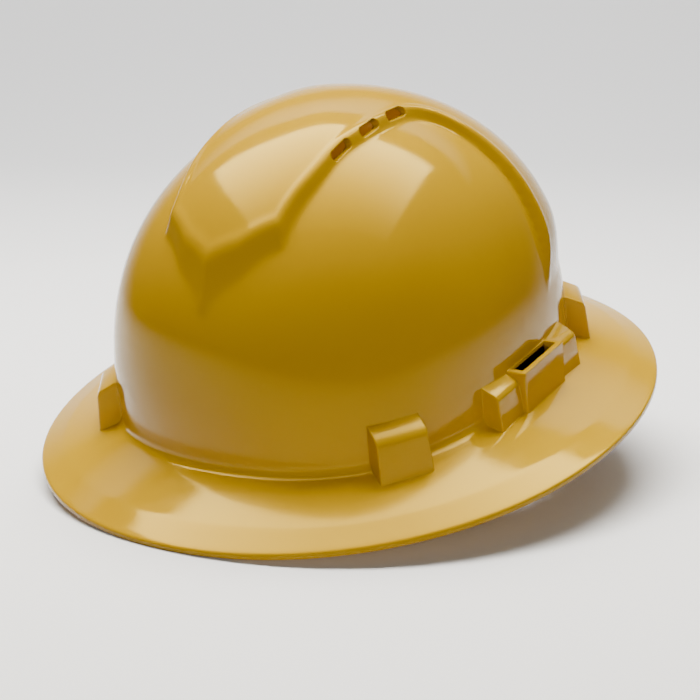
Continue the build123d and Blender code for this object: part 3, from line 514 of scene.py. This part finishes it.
# The crown with its ridge, inset by a wall's thickness, from a start height to the top. Every point
# moves out along the plain crown's normal, to where it leaves both the crown and the ridge.
def crownSkin(inset, rows, start):
    base, normal, height, (heights, shareX, shareY) = plainCrown(inset, rows, start)
    rise = np.clip((heights - shellSizes["capeLow"]) / (shellSizes["capeHigh"] - shellSizes["capeLow"]), 0, 1)
    grow = -shellSizes["sink"] + (shellSizes["rise"] + shellSizes["sink"]) * rise**2 * (3 - 2 * rise)
    raised = np.stack([grow * shareX, grow * shareY,
                       np.broadcast_to(shellSizes["rise"] * heights, base.shape[:2])], -1)
    lift = (raised * normal).sum(-1)
    soft, probe = shellSizes["edgeRound"], shellSizes["probe"]
    draft, blunt = math.radians(shellSizes["wallAngle"]), math.radians(shellSizes["tipAngle"])

    def wallAt(points):
        above = points[..., 2] - shellSizes["datum"]
        sides = (insideRidge(points) - inset - math.tan(draft) * above) * math.cos(draft)
        front = (points[..., 1] + shellSizes["tip"] - inset - math.tan(blunt) * above) * math.cos(blunt)
        return -softMax(-sides, -front, soft)

    wallNear = wallAt(base)
    wallSlope = (wallAt(base + normal * probe) - wallNear) / probe
    if not inset:  # the top ends in a low bead along the wall
        inward = (wallNear + wallSlope * lift - shellSizes["beadIn"]) / shellSizes["beadWide"]
        lift = lift + shellSizes["bead"] * np.exp(-inward**2)
    lowest, highest = (np.full(lift.shape, limit) for limit in shellSizes["search"])
    for halving in range(shellSizes["halvings"]):
        out = (lowest + highest) / 2
        ridge = -softMax(out - lift, -(wallNear + wallSlope * out), soft)
        inside = softMax(-out, ridge, soft) > 0
        lowest = np.where(inside, out, lowest)
        highest = np.where(inside, highest, out)
    return base + normal * lowest[..., None], height + shellSizes["rise"]


# Rows that round a corner between two rings, starting and ending on them
def cornerRows(before, corner, after, rows):
    shares = [step / rows for step in range(rows + 1)]
    return [before * (1 - share) ** 2 + 2 * corner * share * (1 - share) + after * share**2
            for share in shares]


def straightRows(start, end, rows):  # leaves out both ends
    return [start + (end - start) * step / rows for step in range(1, rows)]


def toward(start, end, distance):
    step = end - start
    return start + step / np.linalg.norm(step, axis=-1, keepdims=True) * distance


# Rings from the crown's top down its outside, over the brim and its rim, and up the inside
def shellRows():
    sizes, counts = shellSizes, shellSizes["rows"]
    width, length, _ = sizes["crown"]
    wall, thick, lipRound, rimRound = (sizes[key] for key in ("wall", "thick", "lipRound", "rimRound"))
    rimX, rimY = sizes["brim"]
    lipFull = sizes["brimFull"] * sizes["lipShare"] + sizes["crownFull"] * (1 - sizes["lipShare"])
    down = np.array((0, 0, -1.0))
    root = ring(width, length, sizes["crownFull"], 0)
    lip = ring(rimX - sizes["lipWidth"], rimY - sizes["lipWidth"], lipFull,
               sizes["lipDrop"] - sizes["brimDrop"])
    rim = ring(rimX, rimY, sizes["brimFull"], -sizes["brimDrop"])
    low = rim + down * thick
    land = ring(rimX - sizes["land"], rimY - sizes["land"], sizes["brimFull"], -sizes["brimDrop"] - thick)
    underLip = lip + down * thick
    innerRoot = ring(width - wall, length - wall, sizes["crownFull"], -thick)
    wallFoot = ring(width - wall, length - wall, sizes["crownFull"], 0)
    seam = sizes["rootRound"] * sizes["rootShare"]
    crown, top = crownSkin(0, sizes["crownRows"], seam)
    inner, innerTop = crownSkin(wall, sizes["innerRows"], sizes["innerStart"])
    rows = list(crown[::-1])
    rows += cornerRows(rows.pop(), root, toward(root, lip, seam), counts["root"])
    rows += straightRows(rows[-1], toward(lip, root, lipRound), counts["slope"])
    rows += cornerRows(toward(lip, root, lipRound), lip, toward(lip, rim, lipRound), counts["lip"])
    rows += straightRows(rows[-1], toward(rim, lip, rimRound), counts["edge"])
    rows += cornerRows(toward(rim, lip, rimRound), rim, toward(rim, low, rimRound), counts["rim"])
    rows += cornerRows(toward(low, rim, rimRound / 2), low, toward(low, land, rimRound / 2),
                       counts["corner"])
    rows += [land] + straightRows(land, underLip, counts["under"])
    rows += [underLip] + straightRows(underLip, innerRoot, counts["inward"])
    rows += cornerRows(toward(innerRoot, underLip, sizes["footRound"]), innerRoot,
                       innerRoot - down * sizes["footRound"], counts["foot"])
    rows += [wallFoot] + list(inner)
    return rows, top, innerTop


def gridMesh(rows, top, innerTop):
    mesh = bmesh.new()
    lines = [[mesh.verts.new(point) for point in row] for row in rows]
    columns = len(rows[0])
    for high, low in zip(lines, lines[1:]):
        for column in range(columns):
            after = (column + 1) % columns
            mesh.faces.new((high[column], low[column], low[after], high[after]))
    for line, height in ((lines[0], top), (lines[-1], innerTop)):
        pole = mesh.verts.new((0, 0, height))
        for column in range(columns):
            mesh.faces.new((line[column], line[(column + 1) % columns], pole))
    bmesh.ops.recalc_face_normals(mesh, faces=mesh.faces)
    return mesh


# Bosses, side blocks and sockets on the shell, and everything cut out of it
fittings = {
    "bossShares": {"front": (0.46, -1), "rear": (0.42, 1)},  # along the crown's quarter, and its end
    "bossWidth": 23.0, "bossReach": 9.4, "bossCrest": 19.0, "bossShoulder": 15.0,
    "round": 2.8, "topRound": 4.5, "blockRound": 3.5, "lean": 1.1, "flare": 0.6, "socketRound": 1.1,
    "windowWidth": 11.0, "pocketSink": 0.8,
    "blockLength": 75.5, "blockShift": 2.7, "blockFace": 100.4, "blockCrest": 17.0,
    "blockShoulder": 12.8, "blockEnd": 19.0, "socketFace": 103.0, "socketTop": 16.8,
    "slotLength": 32.0, "slotWidth": 6.0,
    "ventLength": 14.0, "ventHeight": 4.2, "ventX": 35.0, "ventY": -35.5, "ventPitch": 20.5,
    "vents": ((118.6, 16.0), (122.2, 6.0), (122.6, -2.0)),  # height and slope of each
    "rootedShare": 0.6,  # how far into the wall the lumps are rooted
    "buried": 0.3,  # edges as near to the wall as this stay sharp
    "overrun": 6.0, "overlap": 0.4,
}


# A point on an oval's quarter and the way it faces
def ovalStation(halfWidth, halfLength, fullness, share):
    other = 1 - share
    across, along = ovalQuarter(fullness, share)
    acrossRate = 2 * other * share * (fullness - 1) - share**2 * fullness
    alongRate = other**2 * fullness + 2 * other * share * (1 - fullness)
    facing = Vector((halfLength * alongRate, -halfWidth * acrossRate, 0)).normalized()
    return Vector((halfWidth * across, halfLength * along, 0)), facing


# Where each hanger key stands on the crown's wall, and which way that faces
def keyStations():
    width, length, _ = shellSizes["crown"]
    made = {}
    for end, (share, turnY) in fittings["bossShares"].items():
        point, facing = ovalStation(width, length, shellSizes["crownFull"], share)
        for side, turnX in (("left", 1), ("right", -1)):
            made[end + "_" + side] = (Vector((turnX * point.x, turnY * point.y, 0)),
                                      Vector((turnX * facing.x, turnY * facing.y, 0)))
    return made


stations = keyStations()


def roundedTop(profile, place, radius, steps=6):  # one corner of a profile becomes an arc
    after = profile[(place + 1) % len(profile)]
    arc = cornerArc(profile[place - 1], profile[place], after, radius, steps)
    return profile[:place] + [tuple(point) for point in arc] + profile[place + 1:]


# A closed outline, drawn out into a solid lump, whose two ends come back
def drawnOut(mesh, outline, move):
    cap = mesh.faces.new([mesh.verts.new(point) for point in outline])
    made = bmesh.ops.extrude_face_region(mesh, geom=[cap])["geom"]
    bmesh.ops.translate(mesh, verts=cornersOf(made), vec=move)
    bmesh.ops.recalc_face_normals(mesh, faces=mesh.faces)
    return cap, next(part for part in made if isinstance(part, bmesh.types.BMFace))


# A block with its profile given as (out, up) pairs. Its foot flares to both sides.
def addBlock(mesh, origin, outward, profile, width, rounding=0.0, flare=0.0, segments=5):
    side = outward.cross(up)
    outline = [origin + outward * out + up * high - side * width / 2 for out, high in profile]
    caps = drawnOut(mesh, outline, side * width)
    for cap, turn in zip(caps, (-1, 1)):
        for corner in cap.verts:
            if corner.co.z <= 0:
                corner.co += side * turn * flare
    if rounding:
        seen = []
        for cap in caps:
            for edge in cap.edges:
                middle = (edge.verts[0].co + edge.verts[1].co) / 2
                if (middle - origin).dot(outward) > fittings["buried"]:
                    seen.append(edge)
        bmesh.ops.bevel(mesh, geom=seen, offset=rounding, segments=segments, profile=0.5,
                        affect="EDGES", clamp_overlap=True, material=-1)


def roundedSlot(length, height, steps=10):
    half = (length - height) / 2
    outline = []
    for turn in (1, -1):
        for step in range(steps + 1):
            angle = turn * math.pi / 2 - math.pi * step / steps
            outline.append((turn * half + height / 2 * math.cos(angle), height / 2 * math.sin(angle)))
    return outline


# The bosses, blocks and sockets as one mesh of closed lumps
def shellFittings():
    sizes, skin = fittings, shellSizes
    mesh = bmesh.new()
    width, length, _ = skin["crown"]
    slope = skin["brimDrop"] / (skin["brim"][0] - width)
    low = -skin["thick"] / 2
    rooted = -skin["wall"] * sizes["rootedShare"]
    for point, facing in stations.values():
        reach = sizes["bossReach"]
        profile = roundedTop([
            (rooted, low), (reach + sizes["flare"], low - slope * reach),
            (reach + sizes["flare"], -slope * reach), (reach - sizes["lean"], sizes["bossShoulder"]),
            (0, sizes["bossCrest"]), (rooted, sizes["bossCrest"])], 3, sizes["topRound"])
        addBlock(mesh, point, facing, profile, sizes["bossWidth"], sizes["round"], sizes["flare"])
    for turn in (1, -1):
        origin = Vector((turn * width, sizes["blockShift"], 0))
        outward = Vector((turn, 0, 0))
        reach = sizes["blockFace"] - width
        back = -width * (1 - math.cos(math.asin(sizes["blockLength"] / 2 / length))) - skin["wall"] / 2
        profile = roundedTop([
            (back, low), (reach + sizes["flare"], low - slope * reach),
            (reach + sizes["flare"], -slope * reach), (reach - sizes["lean"], sizes["blockShoulder"]),
            (back / 2, sizes["blockCrest"]), (back, sizes["blockCrest"])], 3, sizes["blockRound"])
        addBlock(mesh, origin, outward, profile, sizes["blockLength"], sizes["round"], sizes["flare"])
        reach = sizes["socketFace"] - width
        profile = [(rooted, low), (reach, low - slope * reach), (reach, sizes["socketTop"]),
                   (rooted, sizes["socketTop"])]
        addBlock(mesh, origin, outward, profile, sizes["blockLength"] - 2 * sizes["blockEnd"],
                 sizes["socketRound"])
    return mesh


# Closed lumps to cut away: the pockets, slots and vents, then the windows behind the pockets
def shellCuts():
    sizes, skin = fittings, shellSizes
    wall, overrun = skin["wall"], sizes["overrun"]
    deep = -skin["thick"] - overrun

    def addKeyCuts(mesh, near, far, width, top=sizes["bossShoulder"] - wall):
        for point, facing in stations.values():
            addBlock(mesh, point, facing, [(near, deep), (far, deep), (far, top), (near, top)], width)

    openings, windows = bmesh.new(), bmesh.new()
    addKeyCuts(openings, -sizes["pocketSink"], sizes["bossReach"] - wall, sizes["bossWidth"] - 2 * wall)
    addKeyCuts(windows, -wall - overrun, sizes["pocketSink"] + sizes["overlap"], sizes["windowWidth"])
    half, slotTop = sizes["slotWidth"] / 2, sizes["socketTop"] + overrun
    for turn in (1, -1):
        outward = Vector((turn, 0, 0))
        slot = Vector((turn * (sizes["socketFace"] - wall - half), sizes["blockShift"], 0))
        addBlock(openings, slot, outward, [(-half, deep), (half, deep), (half, slotTop), (-half, slotTop)],
                 sizes["slotLength"])
        for place, (height, slope) in enumerate(sizes["vents"]):
            angle = math.radians(slope)
            along = Vector((0, math.cos(angle), math.sin(angle)))
            across = Vector((0, -math.sin(angle), math.cos(angle)))
            middle = Vector((turn * sizes["ventX"], sizes["ventY"] + place * sizes["ventPitch"], height))
            outline = [middle + along * ahead + across * above - outward * overrun
                       for ahead, above in roundedSlot(sizes["ventLength"], sizes["ventHeight"])]
            drawnOut(openings, outline, outward * 2 * overrun)
    return openings, windows


# Joins or cuts a piece with a mesh of closed lumps, and keeps the result
def cutWith(piece, mesh, operation):
    cutter = pieceFrom("cutter", mesh)
    change = piece.modifiers.new("cut", "BOOLEAN")
    change.object, change.operation, change.solver = cutter, operation, "MANIFOLD"
    graph = bpy.context.evaluated_depsgraph_get()
    result = bpy.data.meshes.new_from_object(piece.evaluated_get(graph))
    piece.modifiers.clear()
    done = cutter.data, piece.data
    piece.data = result
    bpy.data.objects.remove(cutter)
    for data in done:
        bpy.data.meshes.remove(data)


def shellPiece(smoothAngle=32.0):
    piece = pieceFrom("hat_shell", gridMesh(*shellRows()))
    cutWith(piece, shellFittings(), "UNION")
    for lumps in shellCuts():
        cutWith(piece, lumps, "DIFFERENCE")
    data = piece.data
    data.name = "hat_shell"
    points = np.empty(len(data.vertices) * 3, np.float32)
    data.vertices.foreach_get("co", points)
    data.vertices.foreach_set("co", placed(points.reshape(-1, 3)).astype(np.float32).ravel())
    data.shade_smooth()
    data.set_sharp_from_angle(angle=math.radians(smoothAngle))
    data.materials.clear()
    data.materials.append(shellPlastic())
    data.polygons.foreach_set("material_index", np.zeros(len(data.polygons), np.int32))
    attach(piece, "shell")
    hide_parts("shell")
    return piece


shell = shellPiece()
print("shell made", len(shell.data.polygons))

nylon, acetal, pale = screenColour(40, 41, 43), screenColour(52, 53, 55), screenColour(196, 190, 176)
materials = {
    "headband": mouldedNylon("headband_nylon", nylon, 0.42),
    "webbing": webbingCloth("strap_webbing", screenColour(34, 35, 38)),
    "brow_pad": terryCloth("brow_terry", screenColour(44, 45, 48)),
    "crown_pad": terryCloth("crown_terry", screenColour(52, 53, 57)),
    "nape_pad": terryCloth("nape_terry", screenColour(44, 45, 48)),
    "nape_arms": mouldedNylon("arm_acetal", acetal, 0.36),
    "pins": mouldedNylon("pin_acetal", screenColour(30, 31, 33), 0.32),
    "nape_unit": mouldedNylon("nape_nylon", screenColour(38, 39, 41), 0.44),
    "screws": platedSteel(),
    "pinion": mouldedNylon("pinion_acetal", pale, 0.34),
    "knob": mouldedNylon("knob_nylon", screenColour(30, 31, 33), 0.40),
    "click_spring": mouldedNylon("spring_acetal", pale, 0.34),
    "keys": mouldedNylon("key_nylon", screenColour(36, 37, 39), 0.42),
}

# Crown straps: webbing that is looped through each key's eye and arches over the head
webbing = {
    "width": 16.0, "wall": 1.2, "columns": 10,
    "selvedge": 0.14, "selvedgeThin": 0.55,  # share of the half width that thins out, and by how much
    "apex": 92.0, "lift": 1.5, "power": 0.8, "steps": 72,
    "flangeIn": -8.5, "flangeOut": -5.9, "eyeLow": 21.0, "eyeHigh": 24.5,
    "gap": 0.3, "bend": 0.9, "bendSteps": 6,
}


# A ribbon through stations of (point, way across, way out), with its UV map in metres
def addRibbon(mesh, stops):
    layer = mesh.loops.layers.uv["UVMap"]
    columns, half = webbing["columns"], webbing["width"] / 2
    closed = (stops[0][0] - stops[-1][0]).length < 1e-6
    shares = [step / columns * 2 - 1 for step in range(columns + 1)]
    around = [(share, 1) for share in shares] + [(share, -1) for share in shares[::-1]]
    lines, run = [], [0.0]
    for place, (point, side, out) in enumerate(stops):
        if place:
            run.append(run[-1] + (point - stops[place - 1][0]).length)
        if closed and place == len(stops) - 1:
            lines.append(lines[0])
            break
        line = []
        for share, face in around:
            edge = max(0, abs(share) - (1 - webbing["selvedge"])) / webbing["selvedge"]
            thick = webbing["wall"] / 2 * (1 - edge * webbing["selvedgeThin"])
            line.append(mesh.verts.new(point + side * share * half + out * face * thick))
        lines.append(line)
    for place, (here, ahead) in enumerate(zip(lines, lines[1:])):
        for spot in range(len(around)):
            after = (spot + 1) % len(around)
            face = mesh.faces.new((here[spot], here[after], ahead[after], ahead[spot]))
            corners = ((spot, place), (after, place), (after, place + 1), (spot, place + 1))
            for loop, (column, row) in zip(face.loops, corners):
                loop[layer].uv = (around[column][0] * half / 1000, run[row] / 1000)
    if not closed:
        mesh.faces.new(lines[0])
        mesh.faces.new(lines[-1])


# A rounded rectangle as (out, up, facingOut, facingUp) stops
def loopPath(low, high, near, far):
    bend, steps = webbing["bend"], webbing["bendSteps"]
    stops = []
    for centreOut, centreUp, start in ((far - bend, high - bend, 0), (near + bend, high - bend, 90),
                                       (near + bend, low + bend, 180), (far - bend, low + bend, 270)):
        for step in range(steps + 1):
            angle = math.radians(start + 90 * step / steps)
            stops.append((centreOut + bend * math.cos(angle), centreUp + bend * math.sin(angle),
                          math.cos(angle), math.sin(angle)))
    return stops + stops[:1]


# The arch over the head, from one foot to the other, turning as the straps' two ends do
def archStops(feet, sides, foot, rise):
    power, steps = webbing["power"], webbing["steps"]
    stops = []
    for step in range(steps + 1):
        turn = math.pi * step / steps
        share = (1 - math.cos(turn)) / 2
        level = feet[0] * (1 - share) + feet[1] * share
        if 0 < step < steps:
            height = foot + rise * math.sin(turn) ** power
            climb = power * math.sin(turn) ** (power - 1) * math.cos(turn)
            ahead = (feet[1] - feet[0]) * (math.sin(turn) / 2)
            along = Vector((ahead.x, ahead.y, rise * climb)).normalized()
        else:
            height = foot
            along = Vector((0, 0, math.copysign(1, math.cos(turn))))
        side = sides[0] * (1 - share) + sides[1] * share
        side = (side - along * side.dot(along)).normalized()
        stops.append((Vector((level.x, level.y, height)), side, along.cross(side)))
    return stops


def crownStrap(name, node, front, rear, lift):
    clear = webbing["gap"] + webbing["wall"] / 2
    near, far = webbing["flangeIn"] - clear, webbing["flangeOut"] + clear
    low, high = webbing["eyeLow"] - clear, webbing["eyeHigh"] + clear
    ends = [stations[key] for key in (front, rear)]
    sides = [facing.cross(up) for _, facing in ends]
    feet = [origin + facing * near for origin, facing in ends]
    loops = [[(origin + facing * out + up * height, side, facing * faceOut + up * faceUp)
              for out, height, faceOut, faceUp in loopPath(low, high, near, far)]
             for (origin, facing), side in zip(ends, sides)]
    if sides[0].dot(sides[1]) < 0:
        sides[1] = -sides[1]
    mesh = bmesh.new()
    mesh.loops.layers.uv.new("UVMap")
    for stops in (archStops(feet, sides, high, webbing["apex"] + lift - high), *loops):
        addRibbon(mesh, stops)
    bmesh.ops.recalc_face_normals(mesh, faces=mesh.faces)
    strap = hatPiece(name, mesh, "shell", materials["webbing"], smoothAngle=60)
    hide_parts(node)


crownStrap("webbing_lower", "crown_strap_lower", "front_left", "rear_right", 0.0)
crownStrap("webbing_upper", "crown_strap_upper", "front_right", "rear_left", webbing["lift"])
print("straps made")

# Pads: cushions with a soft edge and a line of stitches sunk just inside it
padEdge = {"rowShare": 0.30, "columnShare": 2.4, "rim": 0.045, "thin": 0.50,
           "seamAt": 0.030, "seamWide": 0.0075, "seamDeep": 0.16}


def swell(thin, share):  # from thin at the edge to full, as a quarter circle
    return thin + (1 - thin) * math.sqrt(max(0.0, 1 - (1 - share) ** 2))


def padThickness(row, column, face):
    near = min(row * padEdge["rowShare"], column * padEdge["columnShare"])
    stitch = math.exp(-((near - padEdge["seamAt"]) / padEdge["seamWide"]) ** 2) if face > 0 else 0.0
    return swell(padEdge["thin"], min(1.0, near / padEdge["rim"])) - padEdge["seamDeep"] * stitch


def padPiece(name, mesh, body, node):
    bmesh.ops.recalc_face_normals(mesh, faces=mesh.faces)
    piece = hatPiece(name, mesh, body, materials[node], smoothAngle=75)
    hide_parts(node)


# Rows of (point, way out) through a pad's middle. Its face lies on the out side, its back behind.
def cushion(name, body, node, grid, wall):
    mesh = bmesh.new()
    rows, columns = len(grid), len(grid[0])
    sides = []
    for face in (1, -1):
        side = []
        for row in range(rows):
            edgeRow = min(row, rows - 1 - row) / (rows - 1)
            line = []
            for column, (point, out) in enumerate(grid[row]):
                edgeColumn = min(column, columns - 1 - column) / (columns - 1)
                thick = wall / 2 * padThickness(edgeRow, edgeColumn, face)
                line.append(mesh.verts.new(point + out * face * thick))
            side.append(line)
        sides.append(side)
        for low, high in zip(side, side[1:]):
            for column in range(columns - 1):
                mesh.faces.new((low[column], low[column + 1], high[column + 1], high[column]))
    rims = [[side[row] for side in sides] for row in (0, -1)]
    rims += [[[line[column] for line in side] for side in sides] for column in (0, -1)]
    for near, far in rims:
        for place in range(len(near) - 1):
            mesh.faces.new((near[place], near[place + 1], far[place + 1], far[place]))
    padPiece(name, mesh, body, node)


# The brow pad lies against the inside of the headband's front
def browCushion():
    sizes = {"half": (77.0, 93.5), "full": 0.6, "inset": 2.1, "wall": 5.0, "low": -24.0, "high": 10.0,
             "endY": -73.0, "columns": 150, "rows": 26, "samples": 800}
    middle = sizes["inset"] + sizes["wall"] / 2
    width, length = (half - middle for half in sizes["half"])
    fine = [ovalStation(width, length, sizes["full"], step / sizes["samples"])
            for step in range(sizes["samples"] + 1)]
    right = [(Vector((point.x, -point.y, 0)), Vector((-facing.x, facing.y, 0)))
             for point, facing in fine if point.y >= -sizes["endY"]]
    left = [(Vector((-point.x, point.y, 0)), Vector((-inward.x, inward.y, 0)))
            for point, inward in right[::-1][1:]]
    line = right + left
    steps = [(ahead[0] - here[0]).length for here, ahead in zip(line, line[1:])]
    run = np.concatenate([[0], np.cumsum(steps)])
    wanted = np.linspace(0, run[-1], sizes["columns"])
    picked = [line[int(np.argmin(abs(run - spot)))] for spot in wanted]
    heights = np.linspace(sizes["low"], sizes["high"], sizes["rows"])
    grid = [[(point + up * height, inward) for point, inward in picked] for height in heights]
    cushion("brow_cushion", "headband", "brow_pad", grid, sizes["wall"])


# The nape pad lies inside the nape unit's curve, which hangs down at an angle behind the head
def napeCushion():
    sizes = {"tilt": -28.0, "middle": (0, 25.0, -8.0), "near": 72.8, "wall": 5.0, "span": 29.0,
             "low": -15.0, "high": 14.0, "columns": 90, "rows": 26}
    spin = Matrix.Rotation(math.radians(sizes["tilt"]), 3, "X")
    radius = sizes["near"] + sizes["wall"] / 2
    turns = np.radians(90 + np.linspace(-sizes["span"], sizes["span"], sizes["columns"]))
    ways = [Vector((math.cos(turn), math.sin(turn), 0)) for turn in turns]
    heights = np.linspace(sizes["low"], sizes["high"], sizes["rows"])
    grid = [[(Vector(sizes["middle"]) + spin @ (out * radius + up * height), -(spin @ out)) for out in ways]
            for height in heights]
    cushion("nape_cushion", "nape_unit", "nape_pad", grid, sizes["wall"])


# A round pad under the crossing of the straps, domed like them
def crownCushion():
    sizes = {"radius": 27.0, "wall": 5.0, "top": 90.8, "bend": 54.0, "rings": 26, "columns": 96,
             "ringPower": 0.9, "edge": 2.4, "thin": 0.5, "seamIn": 3.0, "seamWide": 0.8, "seamDeep": 0.14}
    middle = sizes["top"] - sizes["wall"] / 2
    turns = [2 * math.pi * column / sizes["columns"] for column in range(sizes["columns"])]
    mesh = bmesh.new()
    rims = []
    for face in (1, -1):
        lines = []
        for place in range(1, sizes["rings"] + 1):
            radius = sizes["radius"] * math.sin(math.pi / 2 * (place / sizes["rings"]) ** sizes["ringPower"])
            inward = sizes["radius"] - radius
            stitch = math.exp(-((inward - sizes["seamIn"]) / sizes["seamWide"]) ** 2) if face < 0 else 0.0
            thick = swell(sizes["thin"], min(1.0, inward / sizes["edge"])) - sizes["seamDeep"] * stitch
            height = middle - radius**2 / 2 / sizes["bend"] + face * sizes["wall"] / 2 * thick
            lines.append([mesh.verts.new((radius * math.cos(turn), radius * math.sin(turn), height))
                          for turn in turns])
        pole = mesh.verts.new((0, 0, middle + face * sizes["wall"] / 2))
        for column in range(sizes["columns"]):
            after = (column + 1) % sizes["columns"]
            mesh.faces.new((pole, lines[0][column], lines[0][after]))
            for low, high in zip(lines, lines[1:]):
                mesh.faces.new((low[column], high[column], high[after], low[after]))
        rims.append(lines[-1])
    for column in range(sizes["columns"]):
        after = (column + 1) % sizes["columns"]
        mesh.faces.new((rims[0][column], rims[1][column], rims[1][after], rims[0][after]))
    padPiece("crown_cushion", mesh, "shell", "crown_pad")


browCushion()
napeCushion()
crownCushion()
print("pads made")

# The rest of the CAD keeps its own shape and only gets its finish
finishes = {
    "headband": ["headband"], "nape_arms": ["arm_left", "arm_right"],
    "pins": ["pivot_pin_left", "pivot_pin_right"], "nape_unit": ["nape_cradle", "ratchet_housing"],
    "screws": ["housing_screws", "knob_screw"], "pinion": ["pinion"], "knob": ["knob"],
    "click_spring": ["click_spring"],
    "keys": ["key_front_left", "key_front_right", "key_rear_left", "key_rear_right"],
}
for finish, pieces in finishes.items():
    for pieceName in pieces:
        for place in nodes[pieceName].material_slots:
            place.material = materials[finish]
print("finishes given")
